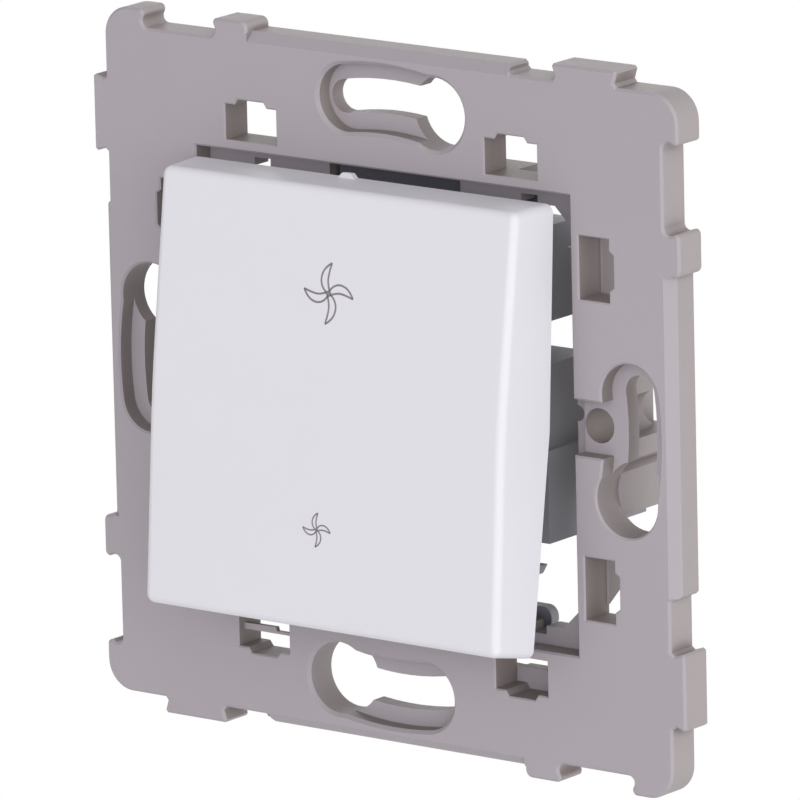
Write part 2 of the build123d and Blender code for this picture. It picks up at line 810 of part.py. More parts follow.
with BuildPart() as switch_cover:
    with BuildSketch(room_face(cover_back)):
        chamber_outline(body_wall)
        terminal_wings(upper_wing_rise)
        middle_wings()
    extrude(amount=cover_back + cover_front)
    # Flange with a broad foot and two lugs below the wings
    with BuildSketch(room_face(cover_back)):
        Rectangle(flange_width, 2 * flange_half)
        with Locations((0, flange_half)):
            Rectangle(flange_ear_reach, flange_ear_height, align=(Align.MIN, Align.MAX))
        with Locations((0, foot_height / 2 - flange_half)):
            RectangleRounded(foot_width, foot_height, foot_corner)
        with Locations((0, lower_wing_low - lug_drop)):
            Trapezoid(lug_width, lug_height, lug_slant, rotation=180, align=(Align.CENTER, Align.MIN))
    extrude(amount=flange_thickness)
    with BuildSketch(room_face(rim_back)):
        Rectangle(tongue_width, aperture_size - 2 * seat_gap)
    extrude(amount=rim_thickness - tongue_inset)
    # Lip over the upper terminal chamber
    with BuildSketch(room_face(cover_back + upper_lip_depth)):
        with Locations((wing_reach, upper_wing_high + seat_gap)):
            Rectangle(
                wing_reach - chamber_width / 2 - seat_gap,
                upper_wing_rise - seat_gap,
                align=(Align.MAX, Align.MIN),
            )
    extrude(amount=upper_lip_depth)
    # Hollow back over the chamber and the terminals
    with BuildSketch(room_face(cover_back)):
        chamber_outline(0)
        terminal_pockets()
        middle_hollows()
    extrude(amount=cover_back + cover_front - cover_front_wall, mode=Mode.SUBTRACT)
    # Slot of the plunger's tube
    with BuildSketch(room_face(cover_back)):
        Rectangle(2 * (tube_radius + moving_gap), 2 * tube_slot_half)
    extrude(amount=cover_back + cover_front, mode=Mode.SUBTRACT)
    # Ears that hold the pivot pins
    with BuildSketch(Plane.YZ.offset(ear_inner)):
        with Locations((pivot_y, 0)):
            Circle(ear_radius)
            Rectangle(-cover_front - pivot_y, 2 * ear_radius, align=(Align.MIN, Align.CENTER))
            Circle(pivot_pin_diameter / 2 + running_gap, mode=Mode.SUBTRACT)
    ear = extrude(amount=ear_thickness)
    mirror(ear, about=Plane.YZ)
switch_cover.part.label = "switch_cover"

with BuildPart() as switch_base:
    with BuildSketch(room_face(floor_y + chamber_floor_wall)):
        chamber_outline(body_wall)
    extrude(amount=floor_y + chamber_floor_wall - cover_back)
    with BuildSketch(room_face(terminal_back + body_wall)):
        terminal_wings(0)
    extrude(amount=terminal_back + body_wall - cover_back)
    with BuildSketch(room_face(middle_wing_depth)):
        middle_wings()
    extrude(amount=middle_wing_depth - cover_back)
    # Contact chamber and terminal hollows, open to the front, with slots for the strips
    with BuildSketch(room_face(middle_wing_depth - body_wall)):
        middle_hollows()
    extrude(amount=middle_wing_depth - body_wall - cover_back, mode=Mode.SUBTRACT)
    with BuildSketch(room_face(floor_y)):
        chamber_outline(0)
        for _, side, height in terminal_places:
            with Locations((0, height)):
                Rectangle(
                    pocket_end,
                    strip_width + 2 * seat_gap,
                    align=(Align.MIN if side > 0 else Align.MAX, Align.CENTER),
                )
    extrude(amount=floor_y - cover_back, mode=Mode.SUBTRACT)
    with BuildSketch(room_face(terminal_back)):
        terminal_pockets()
    extrude(amount=terminal_back - cover_back, mode=Mode.SUBTRACT)
    # Wire holes behind and screw holes at the sides
    for _, side, height in terminal_places:
        with BuildSketch(room_face(terminal_back + body_wall)):
            with Locations((side * wire_x, height)):
                Circle(wire_diameter / 2)
        extrude(amount=body_wall, mode=Mode.SUBTRACT)
        with BuildSketch(Plane.YZ.offset(side * terminal_outer)):
            with Locations((screw_y, height)):
                Circle(screw_access_diameter / 2)
        extrude(amount=side * (wing_reach - terminal_outer), mode=Mode.SUBTRACT)
switch_base.part.label = "switch_base"

pieces = [
    support_frame,
    rocker_cap,
    rocker_cradle,
    plunger,
    plunger_spring,
    contact_blade,
    upper_blade_tip,
    lower_blade_tip,
    high_speed_tip,
    low_speed_tip,
    high_speed_strip,
    low_speed_strip,
    common_bracket,
    switch_cover,
    switch_base,
]
os.makedirs("parts", exist_ok=True)
for piece in pieces + list(terminals.values()):
    export_step(piece.part, f"parts/{piece.part.label}.step")
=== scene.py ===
"""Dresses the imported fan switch: finishes, window webs, printed fan signs and a plain studio."""

import json
import math

import bmesh
import bpy
from mathutils import Matrix, Vector


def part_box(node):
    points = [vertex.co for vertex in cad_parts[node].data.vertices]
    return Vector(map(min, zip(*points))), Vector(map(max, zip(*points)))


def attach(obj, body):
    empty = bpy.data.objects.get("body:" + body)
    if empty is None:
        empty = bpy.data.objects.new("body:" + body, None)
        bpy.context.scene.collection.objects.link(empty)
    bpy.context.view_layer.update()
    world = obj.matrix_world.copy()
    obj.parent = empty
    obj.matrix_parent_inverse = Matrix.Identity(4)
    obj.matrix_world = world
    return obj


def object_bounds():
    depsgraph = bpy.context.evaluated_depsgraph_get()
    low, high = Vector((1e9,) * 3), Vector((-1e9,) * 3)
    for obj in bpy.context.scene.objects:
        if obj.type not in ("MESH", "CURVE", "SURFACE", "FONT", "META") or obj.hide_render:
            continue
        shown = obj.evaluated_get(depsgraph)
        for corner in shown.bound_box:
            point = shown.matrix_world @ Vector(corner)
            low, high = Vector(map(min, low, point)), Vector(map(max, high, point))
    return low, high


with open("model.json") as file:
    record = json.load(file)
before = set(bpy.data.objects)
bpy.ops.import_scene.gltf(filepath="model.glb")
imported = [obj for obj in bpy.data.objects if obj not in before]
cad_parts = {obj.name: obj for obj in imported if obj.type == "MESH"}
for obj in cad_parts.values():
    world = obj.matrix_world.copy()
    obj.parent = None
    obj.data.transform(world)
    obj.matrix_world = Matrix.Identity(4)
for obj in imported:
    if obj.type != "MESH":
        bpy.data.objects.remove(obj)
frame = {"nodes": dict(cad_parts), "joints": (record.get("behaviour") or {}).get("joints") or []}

bl_info = {
    "name": "Fan switch",
    "version": (1, 0, 0),
    "blender": (4, 5, 0),
    "location": "View3D > Sidebar > Fan switch",
    "description": "Finishes, signs and studio for a flush fan switch",
    "category": "Object",
}

MM = 0.001
CAD_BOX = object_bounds()
NODES = frame["nodes"]
JOINTS = {joint["name"]: joint for joint in frame["joints"]}
PIVOT = Vector(JOINTS["rocker_tilt"]["pos_m"])

# Lean of the rocker at rest, read from the way its plunger slides
PLUNGER_AXIS = Vector(JOINTS["plunger_slide"]["axis"]).normalized()
ROCKER_UP = Vector((0.0, PLUNGER_AXIS.z, -PLUNGER_AXIS.y))

# Nodes that share a finish
FINISHES = {
    "support_frame": ["support_frame"],
    "rocker_cap": ["rocker_cap"],
    "switch_body": ["switch_cover", "switch_base"],
    "cradle": ["rocker_cradle"],
    "plunger": ["plunger"],
    "spring": ["plunger_spring"],
    "blade": ["contact_blade"],
    "contact_faces": ["upper_blade_tip", "lower_blade_tip", "high_speed_tip", "low_speed_tip"],
    "strips": ["common_bracket", "high_speed_strip", "low_speed_strip"],
    "terminals": ["common_terminal", "high_speed_terminal", "low_speed_terminal"],
    "screws": ["common_screw", "high_speed_screw", "low_speed_screw"],
}

# Soft clouds in the finishes, as noise scales per metre, and the most that tarnish covers
SKIN_CLOUDS = 90.0
METAL_CLOUDS = 350.0
MOST_TARNISH = 0.45

# How far off a wall still makes a hollow for the painted shade, and how sharply that painted shade sets in
PAINTED_SHADE_REACH = 10 * MM
PAINTED_SHADE_POWER = 2.0
PAINTED_SHADE_SAMPLES = 16

# The stretch of a value from 0 to 1 that a spread draws out
SPREAD_START = 0.3
SPREAD_END = 0.7

# Sockets of a Mix node that mixes colours
MIX_FIRST = 6
MIX_SECOND = 7
MIX_RESULT = 2

# One blade of the fan sign, as points across and up, with a reach of 1:
# its hollow edge from the hub to the tip, and its round edge from the tip to the hub
BLADE_TIP = (0.07, 0.995)
HOLLOW_EDGE = [
    (0.03, 0.09),
    (-0.02, 0.265),
    (-0.045, 0.425),
    (-0.02, 0.65),
    BLADE_TIP,
]
ROUND_EDGE = [
    BLADE_TIP,
    (-0.07, 0.90),
    (-0.20, 0.775),
    (-0.285, 0.62),
    (-0.32, 0.425),
    (-0.285, 0.27),
    (-0.19, 0.12),
    (-0.06, 0.02),
]
BLADES = 4
LINE_STEPS = 8

# The sign's hub, as a share of the blade's reach
HUB_SHARE = 0.11
HUB_CORNERS = 8

# How far the middle of the ink stands over the face, as a share of the ink's height
INK_LIFT = 0.25

# Two small webs of the frame at its lower windows, in millimetres:
# the depths of front and back, and the outline as X and Z
WEBS = {
    "lower_left_web": {
        "depths": (-2.6, -2.1),
        "outline": [
            (-19.17, -25.41),
            (-15.19, -25.38),
            (-15.08, -25.78),
            (-12.83, -25.78),
            (-12.83, -26.05),
            (-19.17, -26.04),
        ],
    },
    "lower_right_stop": {
        "depths": (0.02, 0.8),
        "outline": [
            (11.0, -27.59),
            (11.0, -25.94),
            (20.2, -26.2),
            (20.2, -27.59),
        ],
    },
}

# Floor and backdrop; the floor reaches so many metres each way
WHITE = (1.0, 1.0, 1.0, 1.0)
FLOOR_PALE = (0.85, 0.85, 0.85, 1.0)
FLOOR_ROUGHNESS = 0.9
FLOOR_REACH = 3.0

# Side from which the sky is brighter, at most 1 long
SKY_LEAN = (0.74, -0.64, -0.05)

# Place, width and height of each lamp, in metres
LAMPS = {
    "key": ((0.6, -1.2, 0.25), 1.8, 0.9),
    "side": ((1.38, -0.1, 0.2), 1.2, 0.9),
    "back": ((-0.6, 1.25, 0.25), 1.2, 0.9),
}

# Width of the camera's sensor, in millimetres as Blender takes it
SENSOR_WIDTH = 36.0

# How far the plate's middle stands left of, and under, the picture's middle
PLATE_LEFT = 1.46 * MM
PLATE_DOWN = -0.085 * MM


# Sizes, colours and light that a user would change

def colour_property(label, words, value):
    """A colour."""
    return bpy.props.FloatVectorProperty(
        name=label,
        description=words,
        subtype="COLOR",
        size=3,
        min=0.0,
        max=1.0,
        default=value,
    )


def place_property(label, words, millimetres, **limits):
    """A place along an axis, to either side of the middle unless limits say otherwise."""
    return bpy.props.FloatProperty(
        name=label,
        description=words,
        default=millimetres * MM,
        precision=6,
        unit="LENGTH",
        **limits,
    )


def length_property(label, words, millimetres):
    """A length, never below zero."""
    return place_property(label, words, millimetres, min=0.0)


def angle_property(label, words, degrees):
    """An angle."""
    return bpy.props.FloatProperty(
        name=label,
        description=words,
        default=math.radians(degrees),
        subtype="ANGLE",
    )


def power_property(label, words, watts):
    """A lamp's power."""
    return bpy.props.FloatProperty(name=label, description=words, default=watts, unit="POWER")


class FanSwitchFinish(bpy.types.PropertyGroup):
    """Colours of the moulded and metal pieces, and tints of painted shade on walls and in hollows."""

    frame: colour_property("Frame", "Grey of the support frame", (0.402, 0.364, 0.398))
    # Painted shade: a warm darker tint on the frame's walls, where less light falls
    wall_shade: colour_property("Walls", "Tone of the frame's walls against its face", (1.0, 0.99, 0.92))
    # Painted shade: a darker tone in the frame's hollows, where shade falls
    hollow_shade: colour_property("Hollows", "Tone of the frame's hollows", (0.66, 0.635, 0.61))
    rocker: colour_property("Rocker", "White of the rocker cap", (0.760, 0.750, 0.800))
    body: colour_property("Body", "Dark grey of the switch body", (0.325, 0.321, 0.350))
    # Painted shade: a darker, bluer tone on the body's front faces deep in hollows
    body_hollow_shade: colour_property("Body hollows", "Tone of the body's deep faces", (0.40, 0.40, 0.46))
    cradle: colour_property("Cradle", "Light grey of the rocker's cradle", (0.520, 0.515, 0.520))
    plunger: colour_property("Plunger", "Natural nylon of the plunger", (0.700, 0.670, 0.600))
    brass: colour_property("Brass", "Strips and terminals", (0.720, 0.530, 0.240))
    copper: colour_property("Copper", "See-saw contact blade", (0.720, 0.400, 0.260))
    silver: colour_property("Silver", "Contact faces", (0.800, 0.790, 0.770))
    steel: colour_property("Steel", "Screws and spring", (0.600, 0.600, 0.610))
    ink: colour_property("Ink", "Printed fan signs", (0.243, 0.216, 0.243))


class FanSwitchSigns(bpy.types.PropertyGroup):
    """Places and sizes of the two printed signs, in the rocker's own face."""

    high_radius: length_property("High speed radius", "Reach of the large sign's blades", 3.03)
    high_across: place_property("High speed across", "Sideways place of the large sign", -0.19)
    high_up: place_property("High speed up", "Height of the large sign above the pivot", 11.49)
    low_radius: length_property("Low speed radius", "Reach of the small sign's blades", 1.71)
    low_across: place_property("Low speed across", "Sideways place of the small sign", -0.48)
    low_up: place_property("Low speed up", "Height of the small sign above the pivot", -11.89)
    line_width: length_property("Line width", "Width of the large sign's line", 0.2)
    ink_height: length_property("Ink height", "Thickness of the print", 0.02)


class FanSwitchStudio(bpy.types.PropertyGroup):
    """Camera and light."""

    azimuth: angle_property("Azimuth", "Camera's turn to the right of the face", 37.609)
    elevation: angle_property("Elevation", "Camera's height over the face's normal", 13.042)
    roll: angle_property("Roll", "Turn of the picture", -1.351)
    distance: length_property("Distance", "From the camera to the plate's front", 1137.56)
    lens: bpy.props.FloatProperty(
        name="Lens", description="Focal length on a 36 mm sensor", default=520.9, unit="CAMERA")
    floor_drop: length_property("Floor drop", "From the lowest point down to the floor", 450.0)
    key_power: power_property("Key power", "Large lamp in front", 7.6)
    side_power: power_property("Side power", "Large lamp at the right", 4.4)
    back_power: power_property("Back power", "Lamp behind the switch", 5.0)
    sky_strength: bpy.props.FloatProperty(
        name="Sky strength", description="Light from all round, as its mean", default=0.48)


# Helpers for shader and geometry trees

def feed(tree, value, socket):
    """Links an output socket to an input, or sets a plain value on the input."""
    if isinstance(value, bpy.types.NodeSocket):
        tree.links.new(value, socket)
    else:
        socket.default_value = value


def add_node(tree, kind, inputs):
    """Adds a node with its named inputs fed."""
    node = tree.nodes.new(kind)
    for name, value in inputs.items():
        feed(tree, value, node.inputs[name])
    return node


def math_node(tree, operation, *values):
    """Math node over sockets and numbers; returns its result."""
    node = tree.nodes.new("ShaderNodeMath")
    node.operation = operation
    for value, socket in zip(values, node.inputs):
        feed(tree, value, socket)
    return node.outputs[0]


def vector_node(tree, operation, first, second):
    """Vector Math node over two sockets or vectors."""
    node = tree.nodes.new("ShaderNodeVectorMath")
    node.operation = operation
    feed(tree, first, node.inputs[0])
    feed(tree, second, node.inputs[1])
    return node


def noise_node(tree, coordinates, scale, detail):
    """Noise on the given coordinates; returns its value."""
    inputs = {"Vector": coordinates, "Scale": scale, "Detail": detail}
    return add_node(tree, "ShaderNodeTexNoise", inputs).outputs["Fac"]


def spread_node(tree, value, low, high):
    """Draws the middle stretch of a value out to between two sockets or numbers."""
    inputs = {
        "Value": value,
        "From Min": SPREAD_START,
        "From Max": SPREAD_END,
        "To Min": low,
        "To Max": high,
    }
    return add_node(tree, "ShaderNodeMapRange", inputs).outputs["Result"]


def mix_node(tree, way, share, first, second):
    """Mixes a second colour into a first one as far as the share says; returns the result."""
    node = add_node(tree, "ShaderNodeMix", {"Factor": share})
    node.data_type = "RGBA"
    node.blend_type = way
    feed(tree, first, node.inputs[MIX_FIRST])
    feed(tree, second, node.inputs[MIX_SECOND])
    return node.outputs[MIX_RESULT]


# Finishes

def skin_group(name, inputs):
    """Starts a shader group that puts out colour, roughness and height."""
    tree = bpy.data.node_groups.new(name, "ShaderNodeTree")
    for label, kind, value in inputs:
        socket = tree.interface.new_socket(label, in_out="INPUT", socket_type=kind)
        socket.default_value = value
    outputs = {"Color": "NodeSocketColor", "Roughness": "NodeSocketFloat", "Height": "NodeSocketFloat"}
    for label, kind in outputs.items():
        tree.interface.new_socket(label, in_out="OUTPUT", socket_type=kind)
    return tree, tree.nodes.new("NodeGroupInput").outputs, tree.nodes.new("NodeGroupOutput").inputs


def moulded_skin_and_shade_group():
    """Spark-eroded plastic: slow mottling, painted shade on walls and in hollows, fine grain in height and
    gloss.
    """
    tree, given, result = skin_group(
        "moulded_skin_and_shade",
        [
            ("Color", "NodeSocketColor", (0.5, 0.5, 0.5, 1.0)),
            # The wall and hollow tints are painted shade, for walls and for hollows
            ("Wall Shade", "NodeSocketColor", WHITE),
            ("Hollow", "NodeSocketColor", WHITE),
            ("Hollow Front", "NodeSocketFloat", 0.0),
            ("Mottle", "NodeSocketFloat", 0.03),
            ("Grain Scale", "NodeSocketFloat", 4000.0),
            ("Smooth", "NodeSocketFloat", 0.45),
            ("Rough", "NodeSocketFloat", 0.6),
        ],
    )
    place = tree.nodes.new("ShaderNodeTexCoord").outputs
    cloud = noise_node(tree, place["Object"], scale=SKIN_CLOUDS, detail=3.0)
    shade = math_node(tree, "MULTIPLY_ADD", math_node(tree, "SUBTRACT", cloud, 0.5), given["Mottle"], 1.0)

    # A wall stands across the plate, and a front lies along it; the walls get a painted shade
    normal = add_node(tree, "ShaderNodeSeparateXYZ", {"Vector": place["Normal"]})
    front = math_node(tree, "ABSOLUTE", normal.outputs["Y"])
    wall_shade = spread_node(tree, front, 1.0, 0.0)

    # Painted shade in hollows, from ambient occlusion: it darkens the walls where the share for fronts is
    # 0, and the fronts where it is 1
    openness = add_node(tree, "ShaderNodeAmbientOcclusion", {"Distance": PAINTED_SHADE_REACH})
    openness.samples = PAINTED_SHADE_SAMPLES
    shade_depth = spread_node(tree, math_node(tree, "POWER", openness.outputs["AO"], PAINTED_SHADE_POWER), 1.0, 0.0)
    front_shade_share = math_node(tree, "MULTIPLY", shade_depth, given["Hollow Front"])
    wall_shade_share = math_node(tree, "SUBTRACT", shade_depth, front_shade_share)
    hollow_shade_share = spread_node(tree, front, wall_shade_share, front_shade_share)

    # Painted shade multiplied into the colour, on the walls and then in the hollows
    wall_shaded = mix_node(tree, "MULTIPLY", wall_shade, given["Color"], given["Wall Shade"])
    hollow_shaded = mix_node(tree, "MULTIPLY", hollow_shade_share, wall_shaded, given["Hollow"])
    toned = add_node(tree, "ShaderNodeHueSaturation", {"Color": hollow_shaded, "Value": shade})
    grain = noise_node(tree, place["Object"], scale=given["Grain Scale"], detail=2.0)
    feed(tree, toned.outputs["Color"], result["Color"])
    feed(tree, spread_node(tree, grain, given["Smooth"], given["Rough"]), result["Roughness"])
    feed(tree, grain, result["Height"])
    return tree


def rolled_metal_group():
    """Rolled or turned metal: lines drawn out one way, with darker tarnish in soft clouds."""
    tree, given, result = skin_group(
        "rolled_metal",
        [
            ("Color", "NodeSocketColor", (0.7, 0.5, 0.25, 1.0)),
            ("Tarnish", "NodeSocketColor", (0.4, 0.3, 0.15, 1.0)),
            ("Stretch", "NodeSocketVector", (2500.0, 200.0, 2500.0)),
            ("Smooth", "NodeSocketFloat", 0.22),
            ("Rough", "NodeSocketFloat", 0.4),
        ],
    )
    place = tree.nodes.new("ShaderNodeTexCoord").outputs
    stretched = vector_node(tree, "MULTIPLY", place["Object"], given["Stretch"])
    lines = noise_node(tree, stretched.outputs["Vector"], scale=1.0, detail=2.0)
    cloud = noise_node(tree, place["Object"], scale=METAL_CLOUDS, detail=4.0)
    share = spread_node(tree, cloud, 0.0, MOST_TARNISH)
    feed(tree, mix_node(tree, "MIX", share, given["Color"], given["Tarnish"]), result["Color"])
    feed(tree, spread_node(tree, lines, given["Smooth"], given["Rough"]), result["Roughness"])
    feed(tree, lines, result["Height"])
    return tree


def shader_group(name):
    """One of the shared groups, built the first time it is asked for."""
    makers = {"moulded_skin_and_shade": moulded_skin_and_shade_group, "rolled_metal": rolled_metal_group}
    return bpy.data.node_groups.get(name) or makers[name]()


def finish_material(name, group_name, values, bump, constants):
    """Material whose colour, gloss and bump come from a shared group."""
    material = bpy.data.materials.new(name)
    material.use_nodes = True
    tree = material.node_tree
    shader = tree.nodes["Principled BSDF"]
    group = tree.nodes.new("ShaderNodeGroup")
    group.node_tree = shader_group(group_name)
    for label, value in values.items():
        group.inputs[label].default_value = value
    strength, millimetres = bump
    raise_grain = add_node(tree, "ShaderNodeBump", {
        "Strength": strength,
        "Distance": millimetres * MM,
        "Height": group.outputs["Height"],
    })
    feed(tree, group.outputs["Color"], shader.inputs["Base Color"])
    feed(tree, group.outputs["Roughness"], shader.inputs["Roughness"])
    feed(tree, raise_grain.outputs["Normal"], shader.inputs["Normal"])
    for label, value in constants.items():
        shader.inputs[label].default_value = value
    return material


def plastic(name, colour, wall_shade=(1.0, 1.0, 1.0), hollow_shade=(1.0, 1.0, 1.0), shade_on_fronts=0.0, mottle=0.04,
            grain=3500.0, smooth=0.45, rough=0.6, bump=(0.12, 0.02), specular=0.4):
    """Moulded plastic with painted shade on walls and in hollows; bump is the grain's strength and its
    height in millimetres.
    """
    values = {
        "Color": (*colour, 1.0),
        "Wall Shade": (*wall_shade, 1.0),
        "Hollow": (*hollow_shade, 1.0),
        "Hollow Front": shade_on_fronts,
        "Mottle": mottle,
        "Grain Scale": grain,
        "Smooth": smooth,
        "Rough": rough,
    }
    return finish_material(name, "moulded_skin_and_shade", values, bump, {"Specular IOR Level": specular})


def metal(name, colour, tarnish, stretch, smooth=0.22, rough=0.4, bump=(0.1, 0.01)):
    """Rolled or turned metal; tarnish is the share of the colour that tarnish leaves."""
    values = {
        "Color": (*colour, 1.0),
        "Tarnish": (*(part * tarnish for part in colour), 1.0),
        "Stretch": stretch,
        "Smooth": smooth,
        "Rough": rough,
    }
    return finish_material(name, "rolled_metal", values, bump, {"Metallic": 1.0})


def dress(finish, material):
    """Gives the material to every node of a finish."""
    for name in FINISHES[finish]:
        mesh = NODES[name].data
        mesh.materials.clear()
        mesh.materials.append(material)


# Pieces that are drawn here

def show(name, mesh, body):
    """Puts a finished mesh into the scene, riding on a body."""
    piece = bpy.data.objects.new(name, mesh)
    bpy.context.scene.collection.objects.link(piece)
    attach(piece, body)
    return piece


def web_mesh(name, outline, depths):
    """Flat web with the given outline, between two depths, all in millimetres."""
    count = len(outline)
    corners = [(x * MM, y * MM, z * MM) for y in depths for x, z in outline]
    front = tuple(range(count))
    back = tuple(range(2 * count - 1, count - 1, -1))
    sides = [(n, (n + 1) % count, (n + 1) % count + count, n + count) for n in range(count)]
    mesh = bpy.data.meshes.new(name)
    mesh.from_pydata(corners, [], [front, back] + sides)
    shape = bmesh.new()
    shape.from_mesh(mesh)
    bmesh.ops.recalc_face_normals(shape, faces=shape.faces)
    shape.to_mesh(mesh)
    shape.free()
    return mesh


def fan_sign_tree():
    """Draws a flat line along one blade's outline and repeats it round the hub."""
    tree = bpy.data.node_groups.new("fan_sign", "GeometryNodeTree")
    inputs = {
        "Geometry": "NodeSocketGeometry",
        "Blades": "NodeSocketInt",
        "Line Width": "NodeSocketFloat",
        "Ink Height": "NodeSocketFloat",
        "Hub Radius": "NodeSocketFloat",
        "Ink": "NodeSocketMaterial",
    }
    for label, kind in inputs.items():
        tree.interface.new_socket(label, in_out="INPUT", socket_type=kind)
    tree.interface.new_socket("Geometry", in_out="OUTPUT", socket_type="NodeSocketGeometry")
    given = tree.nodes.new("NodeGroupInput").outputs
    section = add_node(tree, "GeometryNodeCurvePrimitiveQuadrilateral", {
        "Width": given["Line Width"],
        "Height": given["Ink Height"],
    })
    line = add_node(tree, "GeometryNodeCurveToMesh", {
        "Curve": given["Geometry"],
        "Profile Curve": section.outputs["Curve"],
        "Fill Caps": True,
    })
    spots = add_node(tree, "GeometryNodePoints", {"Count": given["Blades"]})
    number = tree.nodes.new("GeometryNodeInputIndex").outputs["Index"]
    turn = math_node(tree, "DIVIDE", 2 * math.pi, given["Blades"])
    around = add_node(tree, "ShaderNodeCombineXYZ", {"Z": math_node(tree, "MULTIPLY", number, turn)})
    copies = add_node(tree, "GeometryNodeInstanceOnPoints", {
        "Points": spots.outputs["Points"],
        "Instance": line.outputs["Mesh"],
        "Rotation": around.outputs["Vector"],
    })
    hub = add_node(tree, "GeometryNodeMeshCylinder", {
        "Vertices": HUB_CORNERS,
        "Radius": given["Hub Radius"],
        "Depth": given["Ink Height"],
    })
    joined = add_node(tree, "GeometryNodeJoinGeometry", {"Geometry": copies.outputs["Instances"]})
    feed(tree, hub.outputs["Mesh"], joined.inputs["Geometry"])
    real = add_node(tree, "GeometryNodeRealizeInstances", {"Geometry": joined.outputs["Geometry"]})
    inked = add_node(tree, "GeometryNodeSetMaterial", {
        "Geometry": real.outputs["Geometry"],
        "Material": given["Ink"],
    })
    add_node(tree, "NodeGroupOutput", {"Geometry": inked.outputs["Geometry"]})
    return tree


def blade_curve(reach):
    """Curve object along one blade's outline, sharp at the tip and at the hub."""
    curve = bpy.data.curves.new("blade_line", "CURVE")
    curve.dimensions = "3D"
    curve.resolution_u = LINE_STEPS
    for points in (HOLLOW_EDGE, ROUND_EDGE):
        spline = curve.splines.new("BEZIER")
        spline.bezier_points.add(len(points) - 1)
        for knot, (across, up) in zip(spline.bezier_points, points):
            knot.co = (across * reach, up * reach, 0.0)
            knot.handle_left_type = "AUTO"
            knot.handle_right_type = "AUTO"
    return bpy.data.objects.new("blade_line", curve)


def tree_result(tree, source, values, name):
    """Runs a geometry tree over a curve object, which it removes, and returns a plain mesh."""
    bpy.context.scene.collection.objects.link(source)
    modifier = source.modifiers.new(tree.name, "NODES")
    modifier.node_group = tree
    for item in tree.interface.items_tree:
        if item.in_out == "INPUT" and item.name in values:
            modifier[item.identifier] = values[item.name]
    depsgraph = bpy.context.evaluated_depsgraph_get()
    mesh = bpy.data.meshes.new_from_object(source.evaluated_get(depsgraph), depsgraph=depsgraph)
    mesh.name = name
    source.modifiers.clear()
    curve = source.data
    bpy.data.objects.remove(source)
    bpy.data.curves.remove(curve)
    return mesh


def face_place(across, up, lift):
    """Matrix of a spot on the rocker's front, found by looking at the cap from the room."""
    far_out = 20 * MM * PLUNGER_AXIS
    start = PIVOT + Vector((across, 0.0, 0.0)) + up * ROCKER_UP + far_out
    hit, spot, normal, _ = NODES["rocker_cap"].ray_cast(start, -PLUNGER_AXIS)
    if not hit:
        raise RuntimeError("the sign misses the rocker's face")
    right = Vector((1.0, 0.0, 0.0))
    rise = normal.cross(right).normalized()
    turn = Matrix((right, rise, normal)).transposed().to_4x4()
    return Matrix.Translation(spot + lift * normal) @ turn


# Floor, light and camera

def white_when_seen(tree, lit, white, output):
    """Shows a white shader to camera, glossy and transmission rays, and a lit one to other light."""
    path = tree.nodes.new("ShaderNodeLightPath").outputs
    mirrored = math_node(tree, "MAXIMUM", path["Is Camera Ray"], path["Is Glossy Ray"])
    seen = math_node(tree, "MAXIMUM", mirrored, path["Is Transmission Ray"])
    mix = add_node(tree, "ShaderNodeMixShader", {"Fac": seen})
    feed(tree, lit, mix.inputs[1])
    feed(tree, white, mix.inputs[2])
    feed(tree, mix.outputs["Shader"], output.inputs["Surface"])


def pale_material():
    """White floor that looks evenly white to the camera and in reflections."""
    material = bpy.data.materials.new("pale_floor")
    material.use_nodes = True
    tree = material.node_tree
    shader = tree.nodes["Principled BSDF"]
    shader.inputs["Base Color"].default_value = FLOOR_PALE
    shader.inputs["Roughness"].default_value = FLOOR_ROUGHNESS
    glow = add_node(tree, "ShaderNodeEmission", {"Color": WHITE})
    white_when_seen(tree, shader.outputs["BSDF"], glow.outputs["Emission"], tree.nodes["Material Output"])
    return material


def make_floor(scene, studio):
    """Large pale floor under the switch."""
    level = CAD_BOX[0][2] - studio.floor_drop
    square = ((-1, -1), (1, -1), (1, 1), (-1, 1))
    corners = [(x * FLOOR_REACH, y * FLOOR_REACH, level) for x, y in square]
    mesh = bpy.data.meshes.new("floor")
    mesh.from_pydata(corners, [], [(0, 1, 2, 3)])
    mesh.materials.append(pale_material())
    floor = bpy.data.objects.new("floor", mesh)
    scene.collection.objects.link(floor)


def make_sky(scene, studio):
    """Light from all round, more from the front and the right, and white to the camera."""
    world = bpy.data.worlds.new("studio_sky")
    world.use_nodes = True
    scene.world = world
    tree = world.node_tree
    place = tree.nodes.new("ShaderNodeTexCoord").outputs
    lean = vector_node(tree, "DOT_PRODUCT", place["Generated"], SKY_LEAN)
    mean = studio.sky_strength
    soft = tree.nodes["Background"]
    soft.inputs["Color"].default_value = WHITE
    feed(tree, math_node(tree, "MULTIPLY_ADD", lean.outputs["Value"], mean, mean), soft.inputs["Strength"])
    white = add_node(tree, "ShaderNodeBackground", {"Color": WHITE})
    output = tree.nodes["World Output"]
    white_when_seen(tree, soft.outputs["Background"], white.outputs["Background"], output)


def make_lamps(scene, studio):
    """Large soft lamps in front and at the right, and one behind, all turned to the switch."""
    powers = {"key": studio.key_power, "side": studio.side_power, "back": studio.back_power}
    for name, (place, width, height) in LAMPS.items():
        data = bpy.data.lights.new(f"{name}_lamp", "AREA")
        data.shape = "RECTANGLE"
        data.size = width
        data.size_y = height
        data.energy = powers[name]
        lamp = bpy.data.objects.new(f"{name}_lamp", data)
        lamp.location = place
        lamp.rotation_euler = (-Vector(place)).to_track_quat("-Z", "Y").to_euler()
        scene.collection.objects.link(lamp)


